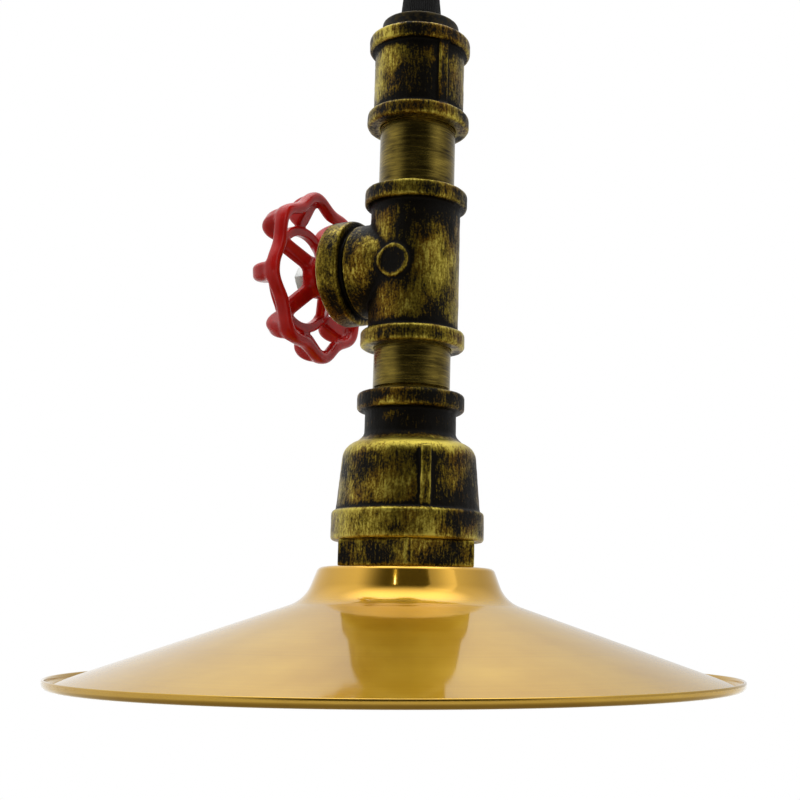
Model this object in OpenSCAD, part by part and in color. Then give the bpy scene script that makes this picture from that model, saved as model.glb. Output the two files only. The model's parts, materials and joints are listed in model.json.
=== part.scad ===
// Pendant light made of 3/4 inch pipe fittings, with a handwheel on the tee and a flat spun shade.
// The lamp hangs along Z. The origin is the cord's entry at the top of the cord grip.
// The tee's branch, with the handwheel, points along -X.

/* [Pipe] */
// Outside diameter of the pipe and of its threads
pipe_od = 26.7; // [25:0.1:28.4]
// Wall of the pipe nipples
pipe_wall = 2.7; // [2:0.1:3.4]
// Length of pipe thread screwed into each fitting
thread_len = 13; // [10:0.5:14]
// Length of the upper nipple that shows
upper_nipple_show = 23.5; // [12:0.5:80]
// Length of the lower nipple that shows
lower_nipple_show = 16; // [8:0.5:80]

/* [Fittings] */
// Outside diameter of the cast bands
band_od = 36.2; // [34:0.1:38]
// Outside diameter of the fittings between their bands
body_od = 31.4; // [30:0.1:33]
// Rounding of the bands' edges
band_round = 1.2; // [0.4:0.1:2]
// Width of a cast rib
rib_w = 3.4; // [2:0.1:5]
// Height of a cast rib over the body
rib_h = 0.9; // [0.4:0.1:1.4]
// Outside diameter of the top socket between its bands
socket_od = 32; // [30:0.1:33]
// Length of the top socket
socket_len = 34; // [32:0.5:48]
// Width of the top socket's bands
socket_band_w = 5.4; // [4:0.1:8]
// Length of the tee, end to end
tee_len = 56.7; // [52:0.1:70]
// Tee's axis to the face of its branch
tee_branch = 29.5; // [29:0.5:40]
// Height of the branch's axis over the tee's middle, as measured
branch_rise = 1.2; // [0:0.1:2]
// Outside diameter of the branch
branch_od = 33.4; // [33:0.1:36]
// Outside diameter of the branch's band
branch_band_od = 37.6; // [36.4:0.1:40]
// Width of the branch's band
branch_band_w = 8.2; // [5:0.1:9]
// Width of the groove behind that band
branch_groove_w = 1.8; // [1:0.1:2.4]
// Depth of that groove
branch_groove_depth = 1.2; // [0.4:0.1:1.4]
// Width of the tee's bands
tee_band_w = 6; // [4:0.1:8]
// Diameter of the plain round boss on each side of the tee
boss_d = 11.6; // [6:0.1:16]
// Height of the boss over the tee's body
boss_h = 0.9; // [0.5:0.1:1.2]
// Width of the raised edge round the boss
boss_edge = 0.9; // [0.6:0.1:1.4]
// Depth of the boss's face below its edge
boss_dish = 0.4; // [0.2:0.1:0.5]

/* [Bell] */
// Length of the bell reducer
bell_len = 50.7; // [48:0.1:60]
// Diameter of the band at its narrow end
bell_band_od = 37; // [34:0.1:38]
// Width of that band
bell_band_w = 6.2; // [4:0.1:8]
// Length of its narrow part, with the band
bell_neck_len = 14; // [12:0.5:16]
// Diameter below its shoulder
bell_shoulder_od = 45.8; // [45:0.1:47]
// Diameter of the ring at its wide end
bell_ring_od = 51.8; // [50.4:0.1:54]
// Width of that ring
bell_ring_w = 10.2; // [6:0.1:12]
// Outside diameter of the 1 1/4 inch thread
bush_thread_od = 41.9; // [40:0.1:42.5]
// Length of that thread
bush_thread_len = 12; // [10:0.5:16]
// Hexagon of the bush, across flats
hex_af = 44.8; // [44:0.1:50]
// Height of the hexagon
hex_h = 8.8; // [6:0.1:14]

/* [Top plug and cord grip] */
// Height of the plug above the socket
plug_show = 5.9; // [3:0.1:12]
// Diameter of the plug's head
plug_d = 27.6; // [27:0.1:31]
// Thickness of the plug's top
plug_plate = 6; // [4:0.5:10]
// Height of the cord grip above the plug
grip_h = 19; // [18:0.5:30]
// Diameter of the cord grip at its foot
grip_d = 14.4; // [14:0.1:17]
// Diameter of the cord grip at its top
grip_top_d = 11.2; // [10.8:0.1:14]
// Number of ribs round the grip's cap
grip_ribs = 60; // [12:1:64]
// Diameter of the cord that the grip takes
cord_d = 7; // [5:0.1:7.4]
// Thread of the cord grip and of the stem tube
stem_d = 10; // [9:0.1:10.5]

/* [Handwheel] */
// Diameter over the rim's peaks
wheel_d = 62.6; // [58:0.1:80]
// Depth of the rim's waves
wheel_wave = 2.8; // [1:0.1:3.4]
// Number of peaks and lobes on the rim
wheel_lobes = 8; // [8:4:12]
// Radial thickness of the rim
rim_w = 4; // [3:0.1:6]
// Axial height of the rim
rim_h = 4.6; // [4.4:0.1:6]
// Thickness of each lobe along the rim
lobe_w = 6.6; // [4:0.1:8]
// Radial length of each lobe, from the rim in to the inner ring
lobe_len = 12.4; // [12:0.1:16]
// Axial reach of each lobe from the rim's inner face
lobe_reach = 13; // [11.8:0.1:15]
// Mean diameter of the inner ring
ring_d = 35.5; // [32:0.5:38]
// Axial place of the inner ring from the rim's inner face
ring_at = 7.8; // [6:0.1:9]
// Axial height of the inner ring
ring_h = 3.6; // [2:0.1:5]
// Thickness of the inner ring
ring_w = 3.6; // [2:0.1:5]
// Diameter of the hub
hub_d = 15; // [13:0.5:20]
// Length of the hub
hub_len = 5; // [4.5:0.5:10]
// Turn of the wheel as it is seen in the photograph, in degrees
wheel_turn = 81.5; // [0:0.5:90]
// Diameter of the spindle
spindle_d = 8; // [7.4:0.1:9]
// Square of the spindle in the hub, across flats
spindle_square = 5.6; // [5.4:0.1:6]
// Thread on the spindle's end
spindle_thread = 5; // [4:0.1:5.2]
// Height of the branch bush's hexagon
branch_hex_h = 4; // [3:0.5:8]
// Hexagon of the branch bush, across flats
branch_hex_af = 20; // [18:0.5:26]
// Gap between the branch bush and the hub, filled by washer and collar
wheel_stand = 3.2; // [2.5:0.1:8]

/* [Shade] */
// Diameter of the shade
shade_d = 226.4; // [180:0.1:320]
// Thickness of the sheet
sheet = 0.9; // [0.6:0.1:1.4]
// Diameter of the neck's flat top
neck_d = 58.4; // [54:0.1:66]
// Depth of the neck down to the line of the cone
neck_depth = 10.9; // [9:0.1:16]
// Lean of the neck's wall from upright, in degrees
neck_lean = 20.8; // [5:0.1:30]
// Slope of the cone below level, in degrees
cone_slope = 19.1; // [10:0.1:30]
// Radius of the sweep from neck to cone
neck_sweep = 12; // [6:0.5:16]
// Radius of the turned-up rim
lip_r = 1.3; // [1:0.1:3]
// Height of the lip over the turn
lip_h = 0.8; // [0.5:0.1:4]

/* [Lampholder] */
// Outside diameter of the lampholder
holder_d = 34.4; // [33.6:0.1:35.4]
// Length of the lampholder's cap
holder_cap_len = 17; // [15:0.5:20]
// Length of the skirt past the screw shell
skirt_past = 2; // [1:0.5:8]
// Inside diameter of the E27 screw shell
shell_d = 26.6; // [26:0.1:27.2]
// Depth of the screw shell
shell_depth = 21; // [18:0.5:24]
// Sheet of the screw shell
shell_sheet = 0.5; // [0.3:0.1:0.7]
// Thickness of the ceramic core
core_h = 6; // [5:0.5:8]
// Travel of the centre contact
contact_travel = 1.2; // [0.5:0.1:1.4]
// Diameter of the centre contact's stem
contact_d = 5; // [4:0.1:6]
// Height of the clamp ring under the shade
shade_ring_h = 5; // [3:0.5:8]

/* [Fits] */
// Radial gap in a screwed or pushed joint
fit_gap = 0.1; // [0.05:0.01:0.2]
// Radial gap of a shaft that turns or slides
run_gap = 0.05; // [0.02:0.01:0.1]

/* [Hidden] */
$fn = 96;
eps = 0.01;

// Radii that several pieces share
pipe_r = pipe_od / 2;
thread_bore = pipe_r + fit_gap;
band_r = band_od / 2;
body_r = body_od / 2;
pipe_bore = pipe_r - pipe_wall;
stem_r = stem_d / 2;
stem_hole = stem_r + fit_gap;
cord_r = cord_d / 2 + 0.2;

// Heights, from the cord grip's top down
z_plug = -grip_h;
z_socket_top = z_plug - plug_show;
z_socket_bot = z_socket_top - socket_len;
z_tee_top = z_socket_bot - upper_nipple_show;
z_tee_mid = z_tee_top - tee_len / 2;
z_tee_bot = z_tee_top - tee_len;
z_branch = z_tee_mid + branch_rise;
z_bell_top = z_tee_bot - lower_nipple_show;
z_bell_bot = z_bell_top - bell_len;
z_shade = z_bell_bot - hex_h;

// Cord grip
collar_h = 3;
cap_roof = 3;
spigot_r = stem_r + 0.2;
insert_h = 5;
insert_ease = 0.3;
body_ease = 0.4;
z_spigot = -cap_roof - insert_h;
locknut_h = 3;
stem_nut_af = 1.4 * stem_d;
groove_depth = 0.5;

// Branch and handwheel, measured from the lamp's axis towards -X
spindle_r = spindle_d / 2;
bush_len = thread_len;
x_bush_in = tee_branch - bush_len;
x_bush_out = tee_branch + branch_hex_h;
x_hub = x_bush_out + wheel_stand;
x_hub_end = x_hub + hub_len;
thrust_h = 1;
washer_gap = 0.3;
clip_h = 1;
washer_h = 1;
nut_h = 0.8 * spindle_thread;
nut_af = 1.6 * spindle_thread;
hub_set = 0.3;
x_rim = x_hub + hub_set;
lobe_foot = 4;
lobe_inset = 0.8;
lobe_step = 360 / wheel_lobes;

// Carrier, stem tube and lampholder
disc_h = 2;
tag_h = 0.8;
stem_nut_h = 4;
stem_wall = 0.8;
z_disc = z_bell_bot + bush_thread_len;
bush_thread_r = bush_thread_od / 2;
hex_turn = -3;
holder_r = holder_d / 2;
bush_bore = holder_r + 0.8;
cap_boss_h = 4;
cap_wall = 2;
core_flange_h = 1.6;
z_cap_roof = z_disc - cap_boss_h - 2.6;
z_cap_bot = z_disc - holder_cap_len;
z_core_bot = z_cap_bot - core_flange_h;
z_core_top = z_core_bot + core_h;
z_shell_bot = z_core_bot - shell_sheet - shell_depth;
z_holder_bot = z_shell_bot - skirt_past;
shell_r = shell_d / 2;
core_r = holder_r - cap_wall - fit_gap;
skirt_lap = 5;
spring_gap = contact_travel + 2.4;
spring_wire = 0.25;
spring_turns = 3;
button_h = 1.6;
button_r = contact_d / 2 + 2.2;
stop_h = 0.8;

// Shade's outline, in radius and depth below its top face
function unit(angle) = [cos(angle), sin(angle)];
function arc(centre, r, from, to, steps) =
    [for (i = [0 : steps]) centre + r * unit(from + (to - from) * i / steps)];
// Centre of a curve of radius r that rounds the corner where two headings meet
function corner_start(corner, r, a, b) = corner - r * tan(abs(b - a) / 2) * unit(a);
function left_of(angle) = [-sin(angle), cos(angle)];
function round_left(corner, r, a, b, steps) =
    let (centre = corner_start(corner, r, a, b) + r * left_of(a))
    arc(centre, r, a - 90, b - 90, steps);
function round_right(corner, r, a, b, steps) =
    let (centre = corner_start(corner, r, a, b) - r * left_of(a))
    arc(centre, r, a + 90, b + 90, steps);

neck_heading = -90 + neck_lean;
neck_round = 1.6;
shade_hole = holder_r + 0.5;
neck_corner = [neck_d / 2, -sheet / 2];
cone_corner = neck_corner + [neck_depth * tan(neck_lean), -neck_depth];
lip_heading = 86;
lip_out = shade_d / 2 - sheet / 2;
lip_corner_x = lip_out - (lip_h + lip_r) * cos(lip_heading);
lip_corner = [lip_corner_x, cone_corner[1] - (lip_corner_x - cone_corner[0]) * tan(cone_slope)];
lip_run = lip_r * tan((lip_heading + cone_slope) / 2);
lip_end = lip_corner + (lip_run + lip_h) * unit(lip_heading);
shade_line = concat(
    [[shade_hole, -sheet / 2]],
    round_right(neck_corner, neck_round, 0, neck_heading, 6),
    round_left(cone_corner, neck_sweep, neck_heading, -cone_slope, 10),
    round_left(lip_corner, lip_r, -cone_slope, lip_heading, 10),
    [lip_end]);

// Sheet of even thickness along a line: one side out, the other side back
function heading(line, i) =
    let (a = line[max(i - 1, 0)], b = line[min(i + 1, len(line) - 1)])
    atan2(b[1] - a[1], b[0] - a[0]);
function beside(line, gap) =
    [for (i = [0 : len(line) - 1]) line[i] + gap * left_of(heading(line, i))];
function reversed(list) = [for (i = [len(list) - 1 : -1 : 0]) list[i]];
module sheet_of(line, thick) {
    polygon(concat(beside(line, thick / 2), reversed(beside(line, -thick / 2))));
}

// Plain tube between two heights
module tube(r_out, r_in, low, high) {
    translate([0, 0, low]) difference() {
        cylinder(r = r_out, h = high - low);
        translate([0, 0, -1]) cylinder(r = r_in, h = high - low + 2);
    }
}
// Solid round bar between two heights
module bar(r, low, high) {
    translate([0, 0, low]) cylinder(r = r, h = high - low);
}
// Hexagon nut or head
module hexagon(af, low, high) {
    translate([0, 0, low]) cylinder(d = af / cos(30), h = high - low, $fn = 6);
}
// Cast band with rounded edges, as a solid
module band(r, low, high) {
    e = min(band_round, (high - low) / 3);
    rotate_extrude() polygon(concat(
        [[0, low]], arc([r - e, low + e], e, -90, 0, 4), arc([r - e, high - e], e, 0, 90, 4), [[0, high]]));
}
// Turns Z to the branch's direction, -X, with X to -Y
module on_branch() {
    translate([0, 0, z_branch]) rotate([90, 0, -90]) children();
}
// Two cast ribs opposite each other
module ribs(r, low, high, turn) {
    for (side = [0, 180])
        rotate([0, 0, turn + side])
            translate([0, -rib_w / 2, low]) cube([r + rib_h, rib_w, high - low]);
}

module cord_grip_cap() {
    foot = z_plug + collar_h;
    lean = atan((grip_d - grip_top_d) / 2 / -foot);
    color("#232323") difference() {
        union() {
            translate([0, 0, foot]) cylinder(d1 = grip_d, d2 = grip_top_d, h = -foot);
            for (i = [0 : grip_ribs - 1])
                rotate([0, 0, i * 360 / grip_ribs])
                    translate([grip_d / 2 - 0.3, -0.2, foot]) rotate([0, -lean, 0])
                        cube([0.55, 0.4, -foot * 0.55]);
        }
        bar(spigot_r + fit_gap, foot - 1, -cap_roof);
        bar(cord_r, -cap_roof - 1, 1);
    }
}
module cord_grip_body() {
    color("#2b2b2b") difference() {
        union() {
            bar(grip_d / 2, z_plug, z_plug + collar_h);
            bar(spigot_r, z_plug + collar_h - eps, z_spigot);
            bar(stem_r, z_plug - plug_plate - locknut_h - 1, z_plug + eps);
        }
        bar(cord_r + body_ease, z_plug - plug_plate - locknut_h - 2, 1);
    }
}
module cord_grip_insert() {
    color("#3a3a3a") tube(spigot_r, cord_r + insert_ease, z_spigot, -cap_roof);
}
module cord_grip_locknut() {
    top = z_plug - plug_plate;
    color("#b8b8b8") difference() {
        hexagon(stem_nut_af, top - locknut_h, top);
        bar(stem_hole, top - locknut_h - 1, top + 1);
    }
}
module top_plug() {
    foot = z_socket_top - thread_len;
    edge = 0.7;
    color("#262219") difference() {
        rotate_extrude() polygon(concat(
            [[0, foot], [pipe_r, foot], [pipe_r, z_socket_top], [plug_d / 2, z_socket_top]],
            arc([plug_d / 2 - edge, z_plug - edge], edge, 0, 90, 4), [[0, z_plug]]));
        bar(stem_hole, foot - 1, z_plug + 1);
        bar(pipe_bore, foot - 1, z_plug - plug_plate);
    }
}
module top_socket() {
    color("#4d4420") difference() {
        union() {
            bar(socket_od / 2, z_socket_bot + 1, z_socket_top - 1);
            band(band_r, z_socket_top - socket_band_w, z_socket_top);
            band(band_r, z_socket_bot, z_socket_bot + socket_band_w);
            ribs(socket_od / 2, z_socket_bot + socket_band_w / 2, z_socket_top - socket_band_w / 2, -32);
        }
        bar(thread_bore, z_socket_bot - 1, z_socket_top + 1);
    }
}
// Length of pipe with a turned groove above its lower thread
module nipple(low, high, groove_at) {
    rotate_extrude() polygon([
        [pipe_bore, low], [pipe_r, low], [pipe_r, groove_at - 0.5], [pipe_r - groove_depth, groove_at],
        [pipe_r, groove_at + 0.5], [pipe_r, high], [pipe_bore, high]]);
}
module upper_nipple() {
    color("#7d6a2c") nipple(z_tee_top - thread_len, z_socket_bot + thread_len, z_tee_top + 1);
}
module lower_nipple() {
    color("#7d6a2c") nipple(z_bell_top - thread_len, z_tee_bot + thread_len, z_bell_top + 1.6);
}
// Branch of the tee along Z: it swells from the run's body, with a groove behind its band
module branch_body() {
    branch_r = branch_od / 2;
    band_low = tee_branch - branch_band_w;
    groove_low = band_low - branch_groove_w;
    groove_r = branch_r - branch_groove_depth;
    rotate_extrude() polygon([
        [0, 0], [body_r - 0.2, 0], [branch_r, 0.6 * groove_low], [branch_r, groove_low],
        [groove_r, groove_low], [groove_r, band_low + 1], [0, band_low + 1]]);
    band(branch_band_od / 2, band_low, tee_branch);
}
module tee() {
    run = tee_len / 2;
    socket = thread_len + 0.5;
    core_r = pipe_r - 1.6;
    color("#4d4420") difference() {
        union() {
            translate([0, 0, z_tee_mid]) {
                bar(body_r, -run + 1, run - 1);
                band(band_r, run - tee_band_w, run);
                band(band_r, -run, -run + tee_band_w);
                for (side = [0, 180])
                    rotate([90, 0, side]) difference() {
                        bar(boss_d / 2, 0, body_r + boss_h);
                        bar(boss_d / 2 - boss_edge, body_r + boss_h - boss_dish, body_r + boss_h + 1);
                    }
            }
            on_branch() branch_body();
        }
        translate([0, 0, z_tee_mid]) {
            bar(core_r, -run - 1, run + 1);
            bar(thread_bore, run - socket, run + 1);
            bar(thread_bore, -run - 1, -run + socket);
        }
        on_branch() {
            bar(core_r, 0, tee_branch + 1);
            bar(thread_bore, tee_branch - socket, tee_branch + 1);
        }
    }
}
module bell_reducer() {
    neck = z_bell_top - bell_neck_len;
    shoulder_r = bell_shoulder_od / 2;
    round_r = 6;
    shoulder_drop = 2.9;
    skirt_flare = 1.6;
    rib_stand = 1.1;
    ring_top = z_bell_bot + bell_ring_w;
    skirt_r = shoulder_r + skirt_flare;
    throat_h = z_bell_top - thread_len - 3.5 - z_disc - disc_h;
    color("#4d4420") difference() {
        union() {
            rotate_extrude() polygon(concat(
                [[0, z_bell_top - 1], [body_r, z_bell_top - 1]],
                [[body_r, neck], [body_r + 0.7, neck - 1.4]],
                arc([shoulder_r - round_r, neck - shoulder_drop - round_r], round_r, 75, 4, 6),
                [[skirt_r, ring_top], [skirt_r, z_bell_bot + 1], [0, z_bell_bot + 1]]));
            band(bell_band_od / 2, z_bell_top - bell_band_w, z_bell_top);
            band(bell_ring_od / 2, z_bell_bot, ring_top);
            ribs(shoulder_r + rib_stand, ring_top - 2, neck - round_r, -49);
        }
        bar(thread_bore, z_bell_top - thread_len - 0.5, z_bell_top + 1);
        bar(pipe_bore, z_bell_bot, z_bell_top);
        translate([0, 0, z_disc + disc_h]) cylinder(r1 = bush_thread_r - 1.5, r2 = pipe_bore, h = throat_h);
        bar(bush_thread_r + fit_gap, z_bell_bot - 1, z_disc + disc_h);
    }
}
module hex_bush() {
    color("#4d4420") difference() {
        union() {
            rotate([0, 0, hex_turn]) hexagon(hex_af, z_shade, z_bell_bot);
            bar(bush_thread_r, z_bell_bot - eps, z_disc);
        }
        bar(bush_bore, z_shade - 1, z_disc + 1);
    }
}
module carrier_disc() {
    color("#a8a8a4") tube(bush_thread_r - fit_gap, stem_hole, z_disc, z_disc + disc_h);
}
module stem_tube() {
    color("#c2b280")
        tube(stem_r, stem_r - stem_wall, z_cap_roof, z_disc + disc_h + tag_h + stem_nut_h + 1.5);
}
module stem_nut() {
    low = z_disc + disc_h + tag_h;
    color("#b8b8b8") difference() {
        hexagon(stem_nut_af, low, low + stem_nut_h);
        bar(stem_hole, low - 1, low + stem_nut_h + 1);
    }
}
module earth_tag() {
    low = z_disc + disc_h;
    tag_w = 6;
    color("#c9b458") difference() {
        union() {
            bar(stem_nut_af / 2 + 0.5, low, low + tag_h);
            translate([-stem_nut_af, -tag_w / 2, low]) cube([stem_nut_af, tag_w, tag_h]);
        }
        bar(stem_hole, low - 1, low + 2);
        translate([2.4 - stem_nut_af, 0, 0]) bar(1.5, low - 1, low + 2);
    }
}

module branch_bush() {
    color("#3a3320") on_branch() difference() {
        union() {
            bar(pipe_r, x_bush_in, tee_branch);
            hexagon(branch_hex_af, tee_branch - eps, x_bush_out);
        }
        bar(spindle_r + run_gap, x_bush_in - 1, x_bush_out + 1);
    }
}
module spindle() {
    clip_at = x_bush_in - run_gap - clip_h;
    tip = x_hub_end + washer_h + nut_h + 1;
    color("#9a9a98") on_branch() difference() {
        union() {
            bar(spindle_r, clip_at - 2, x_hub);
            bar(spindle_r + 2, x_bush_out + thrust_h + run_gap, x_hub);
            translate([-spindle_square / 2, -spindle_square / 2, x_hub - eps])
                cube([spindle_square, spindle_square, hub_len + eps]);
            bar(spindle_thread / 2, x_hub_end - eps, tip);
        }
        tube(spindle_r + 1, spindle_r - 1, clip_at, clip_at + clip_h);
    }
}
module spindle_clip() {
    clip_at = x_bush_in - run_gap - clip_h;
    color("#6e6e6c") on_branch() difference() {
        tube(spindle_r + 2.4, spindle_r - 1 + fit_gap, clip_at + fit_gap, clip_at + clip_h - fit_gap);
        translate([-spindle_r - 4, -1.8, clip_at - 1]) cube([spindle_r + 4, 3.6, clip_h + 2]);
    }
}
module spindle_washer() {
    color("#b59a4a") on_branch()
        tube(spindle_r + 3, spindle_r + washer_gap, x_bush_out, x_bush_out + thrust_h);
}

// Radius of the rim's wavy outside at an angle
function rim_r(angle) = wheel_d / 2 - wheel_wave * (1 - cos(wheel_lobes * (angle - wheel_turn))) / 2;
function rim_line(inset) =
    let (steps = 12 * wheel_lobes)
    [for (i = [0 : steps - 1]) let (a = wheel_turn + 360 * i / steps) (rim_r(a) - inset) * unit(a)];
// Lobe on the rim: a half-round knuckle along the axis, from the rim over to the inner ring
module lobe(angle) {
    half = lobe_len / 2;
    middle = wheel_d / 2 - lobe_inset - half;
    rim_in = wheel_d / 2 - rim_w;
    root = lobe_foot - 0.5;
    rotate([0, 0, angle]) rotate([90, 0, 0]) linear_extrude(lobe_w, center = true) polygon(concat(
        [for (i = [0 : 10]) let (turn = 15 * i)
            [middle + half * cos(turn), lobe_foot + (lobe_reach - lobe_foot) * sin(turn)]],
        [[rim_in - lobe_inset, root], [middle + half, root]]));
}
// Arm from the hub out to the inner ring
module arm(angle, low, high) {
    hub_r = hub_d / 2;
    ring_r = ring_d / 2;
    rotate([0, 0, angle]) rotate([90, 0, 0]) linear_extrude(lobe_w - 0.8, center = true) polygon([
        [hub_r - 1.5, -hub_set + 0.6], [hub_r - 1.5, hub_len - hub_set - 0.6],
        [ring_r - ring_w / 2, high], [ring_r + ring_w / 4, high],
        [ring_r + ring_w / 4, low], [ring_r - ring_w / 4, low]]);
}
module handwheel() {
    ring_top = ring_at + ring_h;
    arm_in = 0.25;
    color("#a81c1c") on_branch() translate([0, 0, x_rim]) difference() {
        union() {
            difference() {
                linear_extrude(rim_h) polygon(rim_line(0));
                translate([0, 0, -1]) linear_extrude(rim_h + 2) polygon(rim_line(rim_w));
            }
            for (i = [0 : wheel_lobes - 1])
                lobe(wheel_turn + i * lobe_step);
            tube((ring_d + ring_w) / 2, (ring_d - ring_w) / 2, ring_at, ring_top);
            for (i = [1 : wheel_lobes / 4 : wheel_lobes])
                arm(wheel_turn - i * lobe_step, ring_at + arm_in, ring_top - arm_in);
            bar(hub_d / 2, -hub_set, hub_len - hub_set);
        }
        translate([-spindle_square / 2 - run_gap, -spindle_square / 2 - run_gap, -hub_set - 1])
            cube([spindle_square + 2 * run_gap, spindle_square + 2 * run_gap, hub_len + 2]);
    }
}
module handwheel_washer() {
    color("#c0c0c0") on_branch()
        tube(spindle_thread + 0.4, spindle_thread / 2 + fit_gap, x_hub_end, x_hub_end + washer_h);
}
module handwheel_nut() {
    low = x_hub_end + washer_h;
    color("#c8c8c8") on_branch() difference() {
        hexagon(nut_af, low, low + nut_h);
        bar(spindle_thread / 2 + fit_gap, low - 1, low + nut_h + 1);
    }
}

module shade() {
    color("#d3ad55") translate([0, 0, z_shade]) rotate_extrude($fn = 180) sheet_of(shade_line, sheet);
}
module shade_ring() {
    top = z_shade - sheet;
    color("#8f8f8a") tube(holder_r + 5, holder_r + fit_gap, top - shade_ring_h, top);
}
module lampholder_cap() {
    shoulder = z_disc - cap_boss_h;
    boss_r = stem_r + 3;
    color("#d9d4c6") difference() {
        rotate_extrude() polygon([
            [0, z_disc], [boss_r, z_disc], [boss_r, shoulder], [holder_r - 2, shoulder - 0.6],
            [holder_r - cap_wall, shoulder - 2], [holder_r - cap_wall, z_cap_bot], [0, z_cap_bot]]);
        bar(stem_hole, z_cap_bot - 1, z_disc + 1);
        bar(core_r - cap_wall + fit_gap, z_cap_bot - 1, z_cap_roof);
        translate([0, 0, z_disc - cap_boss_h / 2]) rotate([-90, 0, 0]) bar(1.5 + fit_gap, 0, boss_r + 1);
    }
}
module lampholder_lock_screw() {
    color("#9c9c9c") translate([0, 0, z_disc - cap_boss_h / 2]) rotate([-90, 0, 0]) difference() {
        bar(1.5, stem_hole, stem_r + 3);
        translate([-2, -0.3, stem_r + 2.3]) cube([4, 0.6, 2]);
    }
}
terminal_r = 1.5;
terminal_at = core_r - cap_wall - 4;
module lampholder_core() {
    color("#efece2") difference() {
        union() {
            bar(core_r - cap_wall, z_core_bot, z_core_top);
            bar(holder_r - cap_wall, z_core_bot, z_cap_bot);
        }
        bar(contact_d / 2 + run_gap, z_core_bot - 1, z_core_top + 1);
        for (side = [-1, 1])
            translate([side * terminal_at, 0, 0]) bar(terminal_r + fit_gap, z_core_top - 4, z_core_top + 1);
    }
}
module terminal_screws() {
    head_h = 1.6;
    color("#c9a24a") for (side = [-1, 1])
        translate([side * terminal_at, 0, z_core_top]) difference() {
            union() {
                bar(terminal_r + 1.2, 0, head_h);
                bar(terminal_r, -3.8, eps);
            }
            translate([-3, -0.35, head_h - 0.8]) cube([6, 0.7, 1]);
        }
}
module screw_shell() {
    step = z_core_bot - spring_gap - button_h - 0.4;
    hole = button_r + 2;
    neck_out = shell_r - 0.2;
    color("#cfc9b4") rotate_extrude() polygon([
        [hole, z_core_bot], [neck_out, z_core_bot], [neck_out, step],
        [shell_r + shell_sheet, step], [shell_r + shell_sheet, z_shell_bot], [shell_r, z_shell_bot],
        [shell_r, step - shell_sheet], [neck_out - shell_sheet, step - shell_sheet],
        [neck_out - shell_sheet, z_core_bot - shell_sheet], [hole, z_core_bot - shell_sheet]]);
}
module centre_contact() {
    button_top = z_core_bot - spring_gap;
    color("#c9a24a") union() {
        bar(contact_d / 2, button_top - eps, z_core_top + eps);
        bar(button_r, button_top - button_h, button_top);
        bar(contact_d / 2 + 1.2, z_core_top, z_core_top + stop_h);
    }
}
// Coil that winds round the contact's stem
module contact_spring() {
    coil_r = contact_d / 2 + 1;
    sides = 6;
    rings = 8 * spring_turns;
    rise = spring_gap - 2 * spring_wire - 0.2;
    points = [for (i = [0 : rings], k = [0 : sides - 1])
        let (turn = 360 * spring_turns * i / rings, side = 360 * k / sides,
            r = coil_r + spring_wire * cos(side))
        [r * cos(turn), r * sin(turn), rise * i / rings + spring_wire * sin(side)]];
    skin = [for (i = [0 : rings - 1], k = [0 : sides - 1], half = [0, 1])
        let (a = i * sides + k, b = i * sides + (k + 1) % sides)
        half == 0 ? [a, a + sides, b] : [b, a + sides, b + sides]];
    ends = [for (k = [1 : sides - 2], last = [0, 1])
        last == 0 ? [0, k, k + 1] : [rings * sides, rings * sides + k + 1, rings * sides + k]];
    color("#b0b0b0") translate([0, 0, z_core_bot - spring_gap + spring_wire + 0.1])
        polyhedron(points, concat(skin, ends));
}
module lampholder_skirt() {
    ledge_top = z_core_bot;
    color("#26241f") difference() {
        bar(holder_r, z_holder_bot, z_cap_bot + skirt_lap);
        bar(holder_r - cap_wall + fit_gap, ledge_top, z_cap_bot + skirt_lap + 1);
        bar(shell_r + shell_sheet + 0.3, z_holder_bot - 1, ledge_top + 1);
    }
}

cord_grip_cap();
cord_grip_body();
cord_grip_insert();
cord_grip_locknut();
top_plug();
top_socket();
upper_nipple();
tee();
lower_nipple();
bell_reducer();
hex_bush();
carrier_disc();
stem_tube();
stem_nut();
earth_tag();
branch_bush();
spindle();
spindle_clip();
spindle_washer();
handwheel();
handwheel_washer();
handwheel_nut();
shade();
shade_ring();
lampholder_cap();
lampholder_lock_screw();
lampholder_core();
terminal_screws();
screw_shell();
centre_contact();
contact_spring();
lampholder_skirt();
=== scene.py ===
"""Pendant light of pipe fittings with a red handwheel and a spun shade, dressed around its solids."""

import json
import math

import bmesh
import bpy
import numpy as np
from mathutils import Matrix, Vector, noise


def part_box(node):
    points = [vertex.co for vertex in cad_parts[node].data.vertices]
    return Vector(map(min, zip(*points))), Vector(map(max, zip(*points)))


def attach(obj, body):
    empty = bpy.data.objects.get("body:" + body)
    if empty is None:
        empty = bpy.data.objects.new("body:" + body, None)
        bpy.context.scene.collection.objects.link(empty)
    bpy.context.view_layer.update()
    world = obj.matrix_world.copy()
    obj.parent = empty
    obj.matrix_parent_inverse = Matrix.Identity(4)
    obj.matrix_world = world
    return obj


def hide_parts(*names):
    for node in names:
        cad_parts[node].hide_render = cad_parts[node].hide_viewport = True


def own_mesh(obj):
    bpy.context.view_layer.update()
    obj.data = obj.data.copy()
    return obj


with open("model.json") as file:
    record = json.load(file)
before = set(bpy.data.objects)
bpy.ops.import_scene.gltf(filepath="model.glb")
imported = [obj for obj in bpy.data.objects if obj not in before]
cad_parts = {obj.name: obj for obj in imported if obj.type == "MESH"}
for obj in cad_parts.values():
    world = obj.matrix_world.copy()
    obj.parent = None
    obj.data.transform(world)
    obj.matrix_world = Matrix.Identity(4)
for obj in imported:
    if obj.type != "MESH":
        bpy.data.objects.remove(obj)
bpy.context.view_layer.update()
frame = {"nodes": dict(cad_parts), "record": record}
nodes = frame["nodes"]

MM = 0.001
PICTURE = 800

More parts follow.
